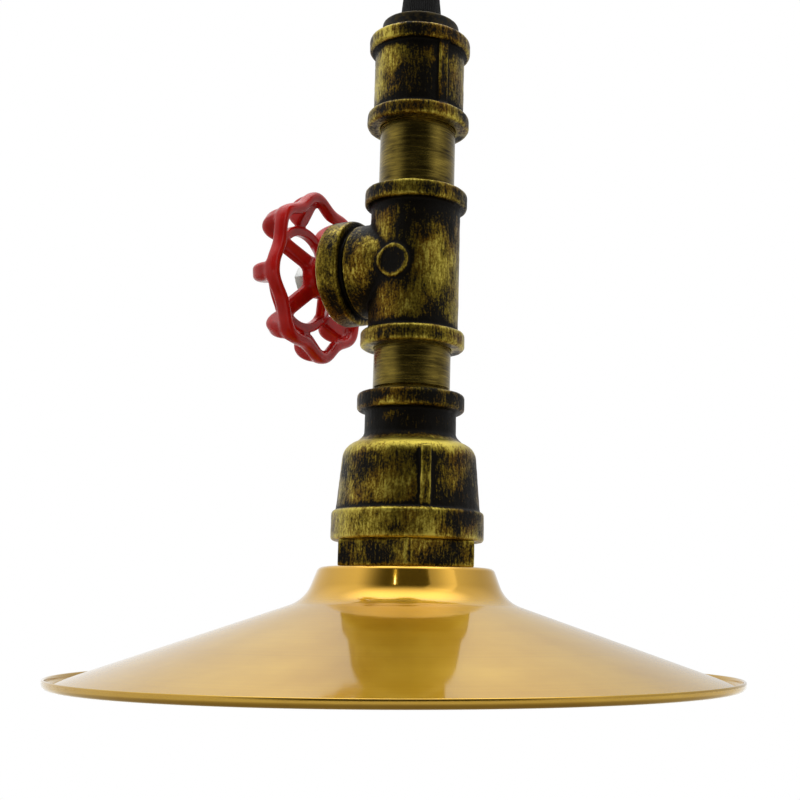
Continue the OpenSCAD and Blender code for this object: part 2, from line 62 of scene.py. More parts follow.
# Camera, matched to the photograph. Its frame is a crop from the left of a wider picture, hence the shift.
CAMERA_AT = (0.2053, -0.38445, -0.22981)
CAMERA_TURN = (99.615, -0.508, 22.084)
FOCAL_PIXELS = 1268
AIM_COLUMN = 541

# The lamp hangs well above the floor
FLOOR_HEIGHT = -1.5
FLOOR_HALF = 25
LAMP_MIDDLE = (0, 0, -0.13)
# Direction of the dim room: behind the camera, and a little up
DIM_FRONT = (0.426, -0.798, 0.423)
# Direction of the greyer wall: behind the lamp, to the right
GREY_SIDE = (0.6, 0.8, 0.0)

# Sockets of the colour mix, by number because their names repeat
SHARE = 0
UNDER = 6
OVER = 7
MIXED = 2


def linear(code):
    """Linear red, green, blue and alpha of an sRGB hex colour."""
    parts = [int(code[i:i + 2], 16) / 255 for i in (1, 3, 5)]
    return [p / 12.92 if p <= 0.04045 else ((p + 0.055) / 1.055) ** 2.4 for p in parts] + [1.0]


def feed(tree, node, inputs):
    """Set a node's inputs to values, or link them to the outputs of other nodes."""
    for name, value in inputs.items():
        if isinstance(value, bpy.types.NodeSocket):
            tree.links.new(value, node.inputs[name])
        else:
            node.inputs[name].default_value = value


def add(tree, kind, inputs=None, **settings):
    """Add a shader node with its settings, and feed its inputs."""
    node = tree.nodes.new(kind)
    for name, value in settings.items():
        setattr(node, name, value)
    feed(tree, node, inputs or {})
    return node


def new_material(name):
    """A material with its node tree and its surface shader."""
    material = bpy.data.materials.new(name)
    material.use_nodes = True
    return material, material.node_tree, material.node_tree.nodes["Principled BSDF"]


def per_mm(across, along):
    """Scale that makes a noise about this many millimetres wide in X and Y, and long in Z."""
    return (1 / (across * MM), 1 / (across * MM), 1 / (along * MM))


# Finishes

def antique_cast_iron():
    """Cast iron sprayed near black and dry-brushed with gold: gold on what is proud, black and painted shade
    in corners.
    """
    material, tree, skin = new_material("antique_cast_iron")
    at = add(tree, "ShaderNodeTexCoord").outputs["Object"]
    # The brush ran up and down: strokes about 0.8 mm wide and 4 mm long
    stroke_at = add(tree, "ShaderNodeMapping", {"Vector": at, "Scale": per_mm(0.8, 3.8)}).outputs[0]
    stroke = add(tree, "ShaderNodeTexNoise",
                 {"Vector": stroke_at, "Scale": 1.0, "Detail": 4.0, "Roughness": 0.6}).outputs[0]
    # Where the brush was loaded: patches of about 12 mm
    load_at = add(tree, "ShaderNodeMapping",
                  {"Vector": at, "Location": (9.1, 0.3, 6.7), "Scale": per_mm(11, 15)}).outputs[0]
    load = add(tree, "ShaderNodeTexNoise", {"Vector": load_at, "Scale": 1.0, "Detail": 2.0})
    # Dry paint catches on the sand grain of the casting, 0.6 mm
    speck_at = add(tree, "ShaderNodeMapping", {"Vector": at, "Scale": per_mm(0.6, 0.8)}).outputs[0]
    speck = add(tree, "ShaderNodeTexNoise",
                {"Vector": speck_at, "Scale": 1.0, "Detail": 4.0, "Roughness": 0.65}).outputs[0]
    # The paint is their sum, with more on what stands proud; the proud mark adds painted highlight and
    # painted shade
    proud = add(tree, "ShaderNodeAttribute", attribute_name="proud").outputs["Fac"]
    brushed = add(tree, "ShaderNodeMath", {0: stroke, 1: 1.05}, operation="MULTIPLY").outputs[0]
    loaded = add(tree, "ShaderNodeMath", {0: load.outputs[0], 1: 1.25, 2: brushed},
                 operation="MULTIPLY_ADD").outputs[0]
    specked = add(tree, "ShaderNodeMath", {0: speck, 1: loaded}, operation="ADD").outputs[0]
    paint = add(tree, "ShaderNodeMath", {0: proud, 1: 0.5, 2: specked}, operation="MULTIPLY_ADD").outputs[0]
    # A thin scumble over black looks olive, thick paint pale gold
    thin = add(tree, "ShaderNodeMapRange", {"Value": paint, "From Min": 1.53, "From Max": 1.89},
               interpolation_type="SMOOTHSTEP").outputs[0]
    thick = add(tree, "ShaderNodeMapRange", {"Value": paint, "From Min": 1.8, "From Max": 2.28},
                interpolation_type="SMOOTHSTEP").outputs[0]
    # Some of the gold has tarnished to brown, in patches
    patch = add(tree, "ShaderNodeSeparateColor", {0: load.outputs[1]}).outputs[1]
    brown = add(tree, "ShaderNodeMapRange", {"Value": patch, "From Min": 0.4, "From Max": 0.65}).outputs[0]
    olive = add(tree, "ShaderNodeMix", {SHARE: brown, UNDER: linear("#71611d"), OVER: linear("#6a4d12")},
                data_type="RGBA").outputs[MIXED]
    scumble = add(tree, "ShaderNodeMix", {SHARE: thin, UNDER: linear("#0d0a05"), OVER: olive},
                  data_type="RGBA").outputs[MIXED]
    coat = add(tree, "ShaderNodeMix", {SHARE: thick, UNDER: scumble, OVER: linear("#c5b34c")},
               data_type="RGBA").outputs[MIXED]
    shine = add(tree, "ShaderNodeMapRange", {"Value": thin, "To Max": 0.92}).outputs[0]
    rough = add(tree, "ShaderNodeMapRange", {"Value": thin, "To Min": 0.45, "To Max": 0.36}).outputs[0]
    ridge = add(tree, "ShaderNodeMath", {0: stroke, 1: 0.6, 2: speck}, operation="MULTIPLY_ADD").outputs[0]
    bump = add(tree, "ShaderNodeBump", {"Height": ridge, "Strength": 0.7, "Distance": 0.2 * MM}).outputs[0]
    feed(tree, skin, {"Base Color": coat, "Metallic": shine, "Roughness": rough,
                      "Specular IOR Level": 0.07, "Normal": bump})
    return material


def gilt_pipe_steel():
    """Drawn steel pipe in golden brown lacquer, rubbed down on a lathe: fine marks round it, a bit askew."""
    material, tree, skin = new_material("gilt_pipe_steel")
    at = add(tree, "ShaderNodeTexCoord").outputs["Object"]
    # Marks of the lathe, 0.6 mm
    mark_at = add(tree, "ShaderNodeMapping",
                  {"Vector": at, "Rotation": (0.10, 0.06, 0.0), "Scale": per_mm(8.0, 0.6)}).outputs[0]
    mark = add(tree, "ShaderNodeTexNoise",
               {"Vector": mark_at, "Scale": 1.0, "Detail": 5.0, "Roughness": 0.6}).outputs[0]
    # Patches where the lacquer is rubbed through, 5 to 8 mm
    stain_at = add(tree, "ShaderNodeMapping", {"Vector": at, "Scale": per_mm(8.0, 5.0)}).outputs[0]
    stain = add(tree, "ShaderNodeTexNoise", {"Vector": stain_at, "Scale": 1.0, "Detail": 3.0}).outputs[0]
    worn = add(tree, "ShaderNodeMath", {0: stain, 1: 0.8, 2: mark}, operation="MULTIPLY_ADD").outputs[0]
    gold = add(tree, "ShaderNodeMapRange", {"Value": worn, "From Min": 0.58, "From Max": 1.24}).outputs[0]
    tint = add(tree, "ShaderNodeMix", {SHARE: gold, UNDER: linear("#241b06"), OVER: linear("#958036")},
               data_type="RGBA").outputs[MIXED]
    rough = add(tree, "ShaderNodeMapRange",
                {"Value": mark, "From Min": 0.3, "From Max": 0.7, "To Min": 0.2, "To Max": 0.3}).outputs[0]
    bump = add(tree, "ShaderNodeBump", {"Height": mark, "Strength": 0.4, "Distance": 0.12 * MM}).outputs[0]
    feed(tree, skin, {"Base Color": tint, "Metallic": 0.92, "Roughness": rough, "Normal": bump})
    return material


def spun_gold_sheet():
    """Spun sheet steel under gold lacquer: satin metal with the tool's rings, below a clear, sharp gloss."""
    material, tree, skin = new_material("spun_gold_sheet")
    at = add(tree, "ShaderNodeTexCoord").outputs["Object"]
    apart = add(tree, "ShaderNodeSeparateXYZ", {0: at}).outputs
    flat = add(tree, "ShaderNodeCombineXYZ", {0: apart[0], 1: apart[1]}).outputs[0]
    radius = add(tree, "ShaderNodeVectorMath", {0: flat}, operation="LENGTH").outputs["Value"]
    # Spinning rings, 0.9 mm apart: finer in life, drawn as coarse as they need to show
    rings_per_m = 1 / (0.9 * MM)
    ring_r = add(tree, "ShaderNodeMath", {0: radius, 1: rings_per_m}, operation="MULTIPLY").outputs[0]
    ring_z = add(tree, "ShaderNodeMath", {0: apart[2], 1: rings_per_m}, operation="MULTIPLY").outputs[0]
    ring_at = add(tree, "ShaderNodeCombineXYZ", {0: ring_r, 1: ring_z}).outputs[0]
    ring = add(tree, "ShaderNodeTexNoise", {"Vector": ring_at, "Scale": 1.0, "Detail": 2.0}).outputs[0]
    # Slow changes of the lacquer's depth, 30 mm
    cloud_at = add(tree, "ShaderNodeMapping", {"Vector": at, "Scale": per_mm(30, 12)}).outputs[0]
    cloud = add(tree, "ShaderNodeTexNoise", {"Vector": cloud_at, "Scale": 1.0, "Detail": 3.0}).outputs[0]
    uneven = add(tree, "ShaderNodeMath", {0: ring, 1: 0.4, 2: cloud}, operation="MULTIPLY_ADD").outputs[0]
    depth = add(tree, "ShaderNodeMapRange", {"Value": uneven, "From Min": 0.5, "From Max": 0.9}).outputs[0]
    cone = add(tree, "ShaderNodeMix", {SHARE: depth, UNDER: linear("#b4891a"), OVER: linear("#c59d2e")},
               data_type="RGBA").outputs[MIXED]
    # The neck is tinted a deeper orange than the cone
    off_neck = add(tree, "ShaderNodeMapRange", {"Value": radius, "From Min": 31.5 * MM, "From Max": 40 * MM},
                   interpolation_type="SMOOTHSTEP").outputs[0]
    tint = add(tree, "ShaderNodeMix", {SHARE: off_neck, UNDER: linear("#cb9a20"), OVER: cone},
               data_type="RGBA").outputs[MIXED]
    # The neck and the lip are burnished by the spinning tool, the cone is left satin
    spread = add(tree, "ShaderNodeMapRange", {"Value": off_neck, "To Min": 0.08, "To Max": 0.4}).outputs[0]
    lip = add(tree, "ShaderNodeMapRange", {"Value": radius, "From Min": 110.8 * MM, "From Max": 112 * MM,
                                           "To Min": spread, "To Max": 0.1}).outputs[0]
    satin = add(tree, "ShaderNodeMath", {0: ring, 1: 0.08, 2: lip}, operation="MULTIPLY_ADD").outputs[0]
    around = add(tree, "ShaderNodeTangent", direction_type="RADIAL", axis="Z").outputs[0]
    bump = add(tree, "ShaderNodeBump", {"Height": ring, "Strength": 0.1, "Distance": 0.04 * MM}).outputs[0]
    feed(tree, skin, {"Base Color": tint, "Metallic": 0.88, "Roughness": satin, "Normal": bump,
                      "Anisotropic": 0.3, "Anisotropic Rotation": 0.25, "Tangent": around,
                      "Specular Tint": linear("#f4e4b4"), "Coat Weight": 1.0, "Coat Roughness": 0.07,
                      "Coat IOR": 1.44, "Coat Normal": bump})
    return material


def red_enamel():
    """Red stove enamel on a small casting: glossy, darker in hollows as painted shade, with a slight orange
    peel.
    """
    material, tree, skin = new_material("red_enamel")
    at = add(tree, "ShaderNodeTexCoord").outputs["Object"]
    # Orange peel, 1.6 mm
    peel_at = add(tree, "ShaderNodeMapping", {"Vector": at, "Scale": per_mm(1.6, 1.6)}).outputs[0]
    peel = add(tree, "ShaderNodeTexNoise", {"Vector": peel_at, "Scale": 1.0, "Detail": 2.0}).outputs[0]
    # Enamel that ran together, 6 mm; lighter on edges as painted highlight
    pool_at = add(tree, "ShaderNodeMapping", {"Vector": at, "Scale": per_mm(6.0, 6.0)}).outputs[0]
    pool = add(tree, "ShaderNodeTexNoise", {"Vector": pool_at, "Scale": 1.0, "Detail": 2.0}).outputs[0]
    proud = add(tree, "ShaderNodeAttribute", attribute_name="proud").outputs["Fac"]
    # Through the proud mark: painted highlight on edges and painted shade in hollows
    thin = add(tree, "ShaderNodeMath", {0: proud, 1: 0.35, 2: pool}, operation="MULTIPLY_ADD").outputs[0]
    tone = add(tree, "ShaderNodeMapRange", {"Value": thin, "From Min": 0.15, "From Max": 0.85}).outputs[0]
    tint = add(tree, "ShaderNodeMix", {SHARE: tone, UNDER: linear("#b20e0d"), OVER: linear("#e0221c")},
               data_type="RGBA").outputs[MIXED]
    rough = add(tree, "ShaderNodeMapRange",
                {"Value": peel, "From Min": 0.3, "From Max": 0.7, "To Min": 0.15, "To Max": 0.23}).outputs[0]
    bump = add(tree, "ShaderNodeBump", {"Height": peel, "Strength": 0.15, "Distance": 0.15 * MM}).outputs[0]
    feed(tree, skin, {"Base Color": tint, "Roughness": rough, "Specular IOR Level": 0.24, "Normal": bump})
    return material


def worn_black_paint():
    """Black satin paint on turned steel, rubbed to bronze along the edges."""
    material, tree, skin = new_material("worn_black_paint")
    at = add(tree, "ShaderNodeTexCoord").outputs["Object"]
    # Rubbed places, 1.6 mm
    rub_at = add(tree, "ShaderNodeMapping", {"Vector": at, "Scale": per_mm(1.6, 1.2)}).outputs[0]
    rub = add(tree, "ShaderNodeTexNoise", {"Vector": rub_at, "Scale": 1.0, "Detail": 4.0}).outputs[0]
    proud = add(tree, "ShaderNodeAttribute", attribute_name="proud").outputs["Fac"]
    bare = add(tree, "ShaderNodeMath", {0: proud, 1: 0.5, 2: rub}, operation="MULTIPLY_ADD").outputs[0]
    wear = add(tree, "ShaderNodeMapRange", {"Value": bare, "From Min": 0.55, "From Max": 0.95}).outputs[0]
    tint = add(tree, "ShaderNodeMix", {SHARE: wear, UNDER: linear("#0d0c09"), OVER: linear("#4c401e")},
               data_type="RGBA").outputs[MIXED]
    shine = add(tree, "ShaderNodeMapRange", {"Value": wear, "To Max": 0.5}).outputs[0]
    rough = add(tree, "ShaderNodeMapRange",
                {"Value": rub, "From Min": 0.3, "From Max": 0.7, "To Min": 0.4, "To Max": 0.55}).outputs[0]
    bump = add(tree, "ShaderNodeBump", {"Height": rub, "Strength": 0.3, "Distance": 0.1 * MM}).outputs[0]
    feed(tree, skin, {"Base Color": tint, "Metallic": shine, "Roughness": rough,
                      "Specular IOR Level": 0.15, "Normal": bump})
    return material


def flecked(name, dark, light, size, metallic, rough, bump_depth=0.05, stretch=1.0, gloss=0.5):
    """A plain finish whose tone, sheen and surface vary with a fine grain of this size in millimetres."""
    material, tree, skin = new_material(name)
    at = add(tree, "ShaderNodeTexCoord").outputs["Object"]
    grain_at = add(tree, "ShaderNodeMapping",
                   {"Vector": at, "Scale": per_mm(size, size * stretch)}).outputs[0]
    grain = add(tree, "ShaderNodeTexNoise", {"Vector": grain_at, "Scale": 1.0, "Detail": 3.0}).outputs[0]
    tint = add(tree, "ShaderNodeMix", {SHARE: grain, UNDER: linear(dark), OVER: linear(light)},
               data_type="RGBA").outputs[MIXED]
    sheen = add(tree, "ShaderNodeMapRange", {"Value": grain, "From Min": 0.3, "From Max": 0.7,
                                             "To Min": rough[0], "To Max": rough[1]}).outputs[0]
    bump = add(tree, "ShaderNodeBump",
               {"Height": grain, "Strength": 0.3, "Distance": bump_depth * MM}).outputs[0]
    feed(tree, skin, {"Base Color": tint, "Metallic": metallic, "Roughness": sheen,
                      "Specular IOR Level": gloss, "Normal": bump})
    return material


SLOT_FINISH = {
    "antique_cast": antique_cast_iron(),
    "gilt_pipe": gilt_pipe_steel(),
    "satin_gold": spun_gold_sheet(),
    "red_enamel": red_enamel(),
    "black_steel": worn_black_paint(),
    # Moulded phenolic resin of the lampholder: near black, faintly mottled
    "holder_black": flecked("black_phenolic", "#14120f", "#26221b", 1.6, 0.0, (0.28, 0.42)),
    # Moulded nylon: matt black with a faint spark-eroded texture
    "black_nylon": flecked("black_nylon", "#090909", "#131312", 0.5, 0.0, (0.42, 0.58), gloss=0.2),
    # Soft rubber: dull, with bloom
    "grip_rubber": flecked("grip_rubber", "#1b1b1b", "#303030", 1.0, 0.0, (0.7, 0.85)),
    # Zinc plated steel: bright, slightly milky
    "zinc_steel": flecked("bright_zinc", "#a3a5a6", "#d4d4cf", 1.2, 1.0, (0.24, 0.4)),
    # Turned brass: warm and bright, with flat marks of the tool
    "raw_brass": flecked("turned_brass", "#a98434", "#d8b968", 0.6, 1.0, (0.22, 0.36), 0.04, 0.3),
    # Glazed porcelain: white, faintly speckled
    "white_porcelain": flecked("glazed_porcelain", "#e2dccb", "#f3f0e6", 1.5, 0.0, (0.12, 0.2)),
    # Nickel plated sheet of the screw shell: bright and slightly warm
    "nickel": flecked("nickel_sheet", "#b9b2a0", "#dcd6c4", 2.0, 1.0, (0.2, 0.32)),
    # Drawn spring wire: bright grey
    "spring_steel": flecked("spring_wire", "#8f8f8d", "#c3c3bf", 0.4, 1.0, (0.25, 0.4)),
}
slot_of = {part["node"]: part["material_slot"] for part in frame["record"]["subparts"]}
bodies = frame["record"]["behaviour"]["bodies"]
body_of = {node: body for body, members in bodies.items() for node in members}
for name, node in nodes.items():
    node.data.materials.clear()
    node.data.materials.append(SLOT_FINISH[slot_of[name]])
    node.data.shade_smooth()
    node.data.set_sharp_from_angle(angle=math.radians(30))


# Shapes. Sizes are in millimetres, and outlines are lists of (radius, height).

# Smoothing: how far a point goes towards its neighbours, and back out in every second round
PULL_IN = 0.6
PUSH_OUT = 0.58
# Rounds of smoothing that even out an edge, and a swelling of a few millimetres
EDGE_ROUNDS = 10
WIDE_ROUNDS = 110
# How much edges and swellings count for paint, and for painted highlight on edges and painted shade in
# hollows
EDGE_WEIGHT = 0.75
SWELL_MOST = 0.15
# Waves in a cast skin
LONG_WAVE = 4.5
SHORT_WAVE = 1.6


def dress(piece, node):
    """Put a piece in place of its solid: same body, same material slot."""
    piece.data.materials.clear()
    piece.data.materials.append(SLOT_FINISH[slot_of[node]])
    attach(piece, body_of[node])
    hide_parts(node)


def settled(piece):
    """Apply the piece's modifiers to its mesh."""
    graph = bpy.context.evaluated_depsgraph_get()
    mesh = bpy.data.meshes.new_from_object(piece.evaluated_get(graph))
    old = piece.data
    piece.modifiers.clear()
    piece.data = mesh
    bpy.data.meshes.remove(old)


def show(name, mesh):
    """A new object for a mesh, shaded smooth."""
    piece = bpy.data.objects.new(name, mesh)
    bpy.context.scene.collection.objects.link(piece)
    mesh.shade_smooth()
    return piece


def spots_of(mesh, what="co"):
    """The mesh's points, or their normals, as rows of three."""
    rows = np.empty(len(mesh.vertices) * 3)
    mesh.vertices.foreach_get(what, rows)
    return rows.reshape(-1, 3)


def edge_ends(mesh):
    """First and second point of every edge of the mesh."""
    ends = np.empty(len(mesh.edges) * 2, dtype=np.int32)
    mesh.edges.foreach_get("vertices", ends)
    return ends.reshape(-1, 2).T


def relaxed(spots, a, b, rounds, keep_size=False):
    """Points drawn towards their neighbours along the edges a to b, and out again to keep the size."""
    count = len(spots)
    links = np.bincount(a, minlength=count) + np.bincount(b, minlength=count)
    soft = spots.copy()
    for i in range(rounds):
        sums = [np.bincount(a, soft[b, k], count) + np.bincount(b, soft[a, k], count) for k in range(3)]
        pull = -PUSH_OUT if keep_size and i % 2 else PULL_IN
        soft = (1 - pull) * soft + pull * np.stack(sums, 1) / links[:, None]
    return soft


def smoothed(mesh, rounds):
    """Round the mesh's edges and keep its size."""
    soft = relaxed(spots_of(mesh), *edge_ends(mesh), rounds, keep_size=True)
    mesh.vertices.foreach_set("co", soft.ravel())
    mesh.update()


def roughened(mesh, depth):
    """Move the skin in and out by a little, as sand moulds leave it."""
    spots = spots_of(mesh)
    wave = [noise.noise(p / LONG_WAVE) + 0.5 * noise.noise(p / SHORT_WAVE) for p in map(Vector, spots / MM)]
    spots += spots_of(mesh, "normal") * np.array(wave)[:, None] * depth * MM
    mesh.vertices.foreach_set("co", spots.ravel())
    mesh.update()


def mark_proud(mesh, edge_rise, wide_rise, load=((0, 0),), paint_and_light_dabs=()):
    """Keep how far each point stands proud, at edges and over a few millimetres: paint holds there. With it
    go painted highlight on edges and painted shade in hollows.

    load lists (height, more or less paint there); it also holds painted highlight and painted shade by
    height.
    The last argument lists round patches on something upright, of paint, painted shade and painted
    highlight: (azimuth in degrees, height, size, more or less paint there).
    """
    spots = spots_of(mesh)
    a, b = edge_ends(mesh)
    normals = spots_of(mesh, "normal")
    near = relaxed(spots, a, b, EDGE_ROUNDS)
    wide = relaxed(near, a, b, WIDE_ROUNDS)
    edge = ((spots - near) * normals).sum(1) / (edge_rise * MM)
    swell = ((spots - wide) * normals).sum(1) / (wide_rise * MM)
    # Edges and swellings: paint, with painted highlight on edges and painted shade in hollows
    proud = np.clip(edge, -1, 1) * EDGE_WEIGHT + np.clip(swell, -1, SWELL_MOST)
    heights, extra = zip(*sorted(load))
    # Paint by height, with painted highlight and painted shade in it
    proud += np.interp(spots[:, 2] / MM, heights, extra)
    # Round patches of paint, painted shade and painted highlight
    azimuth = np.arctan2(spots[:, 1], spots[:, 0])
    reach = np.hypot(spots[:, 0], spots[:, 1]) / MM
    for turn, height, size, more in paint_and_light_dabs:
        beside = (azimuth - math.radians(turn) + math.pi) % (2 * math.pi) - math.pi
        away = np.hypot(beside * reach, spots[:, 2] / MM - height) / size
        proud += more * np.exp(-away ** 4)
    layer = mesh.attributes.new("proud", "FLOAT", "POINT")
    layer.data.foreach_set("value", proud.astype(np.float32))


def casting(name, voxel, rounds, rough, load, paint_and_light_dabs=()):
    """The solid as a sand casting: edges and corners rounded, skin slightly uneven."""
    piece = show("cast_" + name, nodes[name].data.copy())
    remesh = piece.modifiers.new("rounding", "REMESH")
    remesh.mode = "VOXEL"
    remesh.voxel_size = voxel * MM
    settled(piece)
    smoothed(piece.data, rounds)
    roughened(piece.data, rough)
    mark_proud(piece.data, edge_rise=0.22, wide_rise=0.6, load=load, paint_and_light_dabs=paint_and_light_dabs)
    piece.data.shade_smooth()
    dress(piece, name)


def eased(name, width):
    """The solid with its sharp edges broken by this many millimetres."""
    piece = show("eased_" + name, nodes[name].data.copy())
    work = bmesh.new()
    work.from_mesh(piece.data)
    bmesh.ops.remove_doubles(work, verts=work.verts, dist=0.005 * MM)
    bmesh.ops.dissolve_limit(work, angle_limit=math.radians(0.5), verts=work.verts, edges=work.edges)
    work.to_mesh(piece.data)
    work.free()
    bevel = piece.modifiers.new("broken edges", "BEVEL")
    bevel.width = width * MM
    bevel.segments = 3
    bevel.limit_method = "ANGLE"
    bevel.angle_limit = math.radians(40)
    settled(piece)
    piece.data.shade_smooth()
    piece.data.set_sharp_from_angle(angle=math.radians(35))
    dress(piece, name)


def lathe(name, outline, steps, reach=None):
    """Turn a closed outline round Z. reach changes a radius by height and angle."""
    rows = len(outline)
    points = []
    for i in range(steps):
        angle = 2 * math.pi * i / steps
        for r, z in outline:
            far = r if reach is None else reach(r, z, angle)
            points.append((far * MM * math.cos(angle), far * MM * math.sin(angle), z * MM))
    faces = []
    for i in range(steps):
        j = (i + 1) % steps
        for k in range(rows):
            m = (k + 1) % rows
            faces.append((i * rows + k, j * rows + k, j * rows + m, i * rows + m))
    mesh = bpy.data.meshes.new(name)
    mesh.from_pydata(points, [], faces)
    work = bmesh.new()
    work.from_mesh(mesh)
    bmesh.ops.recalc_face_normals(work, faces=work.faces)
    work.to_mesh(mesh)
    work.free()
    piece = show(name, mesh)
    mesh.set_sharp_from_angle(angle=math.radians(50))
    return piece


def level(low, high, steps):
    """Evenly spaced numbers from low to high, both ends included."""
    return [low + (high - low) * i / steps for i in range(steps + 1)]


def unit(angle):
    """Unit vector at an angle in degrees."""
    return np.array((math.cos(math.radians(angle)), math.sin(math.radians(angle))))


def bend(corner, radius, before, after, steps):
    """Points of a curve that rounds a corner between two headings, in degrees."""
    turn = after - before
    side = 1 if turn > 0 else -1
    start = np.array(corner) - radius * math.tan(math.radians(abs(turn) / 2)) * unit(before)
    centre = start + side * radius * unit(before + 90)
    return [centre + radius * unit(before - side * 90 + turn * i / steps) for i in range(steps + 1)]


def sheet_outline(line, thick):
    """Closed outline of a sheet of even thickness along a line, its outer end rounded."""
    line = np.array(line)
    run = np.gradient(line, axis=0)
    run /= np.linalg.norm(run, axis=1)[:, None]
    left = np.stack([-run[:, 1], run[:, 0]], 1) * thick / 2
    tip = math.degrees(math.atan2(run[-1, 1], run[-1, 0]))
    cap = [line[-1] + thick / 2 * unit(tip + 90 - 180 * i / 6) for i in range(1, 6)]
    return list(line + left) + cap + list((line - left)[::-1])


def skin_of(depth, low, step):
    """Surface where a grid of signed depths changes sign.

    Each crossed cell gives a point, each crossed edge of the grid a quad.
    """
    cells = np.array(depth.shape) - 1
    total = np.zeros((*cells, 3))
    count = np.zeros(cells)
    crossings = []
    for axis in range(3):
        others = [k for k in range(3) if k != axis]
        near = np.take(depth, range(cells[axis]), axis)
        far = np.take(depth, range(1, cells[axis] + 1), axis)
        crossed = (near < 0) != (far < 0)
        along = np.where(crossed, near / np.where(crossed, near - far, 1), 0)
        crossings.append((axis, others, near, crossed))
        for shift in ((0, 0), (0, 1), (1, 0), (1, 1)):
            window = [slice(None)] * 3
            for k, s in zip(others, shift):
                window[k] = slice(s, s + cells[k])
            here = crossed[tuple(window)]
            count += here
            total[..., axis] += np.where(here, along[tuple(window)], 0)
            for k, s in zip(others, shift):
                total[..., k] += here * s
    filled = count > 0
    index = np.full(cells, -1)
    index[filled] = np.arange(filled.sum())
    points = (np.argwhere(filled) + total[filled] / count[filled][:, None]) * step + np.array(low)
    quads = []
    for axis, others, near, crossed in crossings:
        spots = np.argwhere(crossed)
        ring = []
        for shift in ((0, 0), (-1, 0), (-1, -1), (0, -1)):
            cell = spots.copy()
            cell[:, others] += shift
            ring.append(index[tuple(cell.T)])
        ring = np.stack(ring, 1)
        outward = (near[tuple(spots.T)] < 0) != (axis == 1)
        quads.append(np.where(outward[:, None], ring, ring[:, ::-1]))
    return points, np.concatenate(quads)


def melted(a, b, blend):
    """Join of two signed depths, with a fillet about this many millimetres wide."""
    share = np.clip(0.5 + 0.5 * (b - a) / blend, 0, 1)
    return b * (1 - share) + a * share - blend * share * (1 - share)


def rounded(a, b, radius):
    """Overlap of two signed depths, with its edge rounded."""
    outside = np.hypot(np.maximum(a + radius, 0), np.maximum(b + radius, 0))
    return outside + np.minimum(np.maximum(a, b) + radius, 0) - radius


# Fittings: sand castings. After the solid's name come the voxel size, the rounds of smoothing, the depth
# of the uneven skin, the paint by height, and the round patches; these two hold paint, painted highlight
# and painted shade.
# Top socket: patches put painted shade on the front and painted highlight on both sides
casting("top_socket", 0.42, 12, 0.1,
        [(-29, 0.0), (-32, -0.1), (-52, -0.1), (-55, 0.0)],
        [(-115, -42, 9, 0.35), (-68, -42, 6, -0.2), (5, -42, 10, 0.5),
         (-62, -26, 8, -0.3), (-80, -58, 8, -0.3)])
# Tee: painted shade under the top band and on the front, painted highlight to the right; the bosses are bare
casting("tee", 0.45, 12, 0.1,
        [(-87, -0.12), (-90, -0.4), (-97, 0.0), (-131, 0.0), (-134, 0.1)],
        [(-90, -110.75, 6.3, -0.5), (90, -110.75, 6.3, -0.5), (-20, -113, 13, 0.2),
         (-70, -97, 8, -0.2), (-105, -81, 9, -0.3), (-75, -137, 6, -0.25)])
# Bell: painted highlight on the shoulder, painted shade under the top band and on the front
casting("bell_reducer", 0.45, 12, 0.1,
        [(-151, -0.3), (-155, -0.45), (-168, -0.35), (-171, 0.6),
         (-173, 1.2), (-178, 0.1), (-190, 0.0), (-206, 0.2)],
        [(-15, -188, 14, -0.5), (-105, -188, 14, 0.05), (-50, -148, 10, -0.35), (-87, -161.5, 3.6, 1.0)])
# Hex: less paint all round; painted shade on the front, painted highlight to the right
casting("hex_bush", 0.42, 8, 0.05,
        [(-205, -0.2), (-215, -0.2)],
        [(-70, -211, 9, -0.25), (-20, -211, 7, 0.2)])
casting("top_plug", 0.4, 6, 0.02, [(-19, 0.0), (-40, 0.0)])

# Handwheel: one casting with generous fillets, in the solid's own sizes
WHEEL_D = 62.6
WHEEL_WAVE = 2.8
WHEEL_TURN = 81.5
WAVE_SLANT = 0.95
RIM_W = 4.0
RIM_H = 4.6
RIM_SQUARENESS = 2.5
LOBE_W = 6.6
LOBE_LEN = 12.4
LOBE_FOOT = 4.0
LOBE_DROP = 2.6
LOBE_REACH = 13.0
LOBE_INSET = 0.8
LOBE_ROUND = 2.2
# The lobes' inner side: how much its slope faces the wheel's axis and outwards, and where it starts
LEAN_ALONG = 0.83
LEAN_ACROSS = 0.56
LEAN_FOOT = LOBE_FOOT - 0.5
LEAN_REACH = WHEEL_D / 2 - RIM_W - 0.8
LEAN_ROUND = 1.2
RING_R = 17.75
RING_W = 3.6
RING_AT = 9.6
RING_ROUND = 1.0
ARM_FOOT_R = 5
ARM_FOOT_AT = 2.2
ARM_HALF_H = 2.0
ARM_HALF_W = 2.9
ARM_ROUND = 1.2
HUB_R = 7.5
HUB_LEN = 5.0
HUB_SET = 0.3
HUB_ROUND = 0.7
SQUARE = 5.7
LOBE_FILLET = 1.4
RING_FILLET = 1.0
HUB_FILLET = 1.6
ARM_FILLET = 1.2
GRID_STEP = 0.4
GRID_LOW = (-34.0, -34.0, -2.0)
GRID_COUNT = (171, 171, 42)


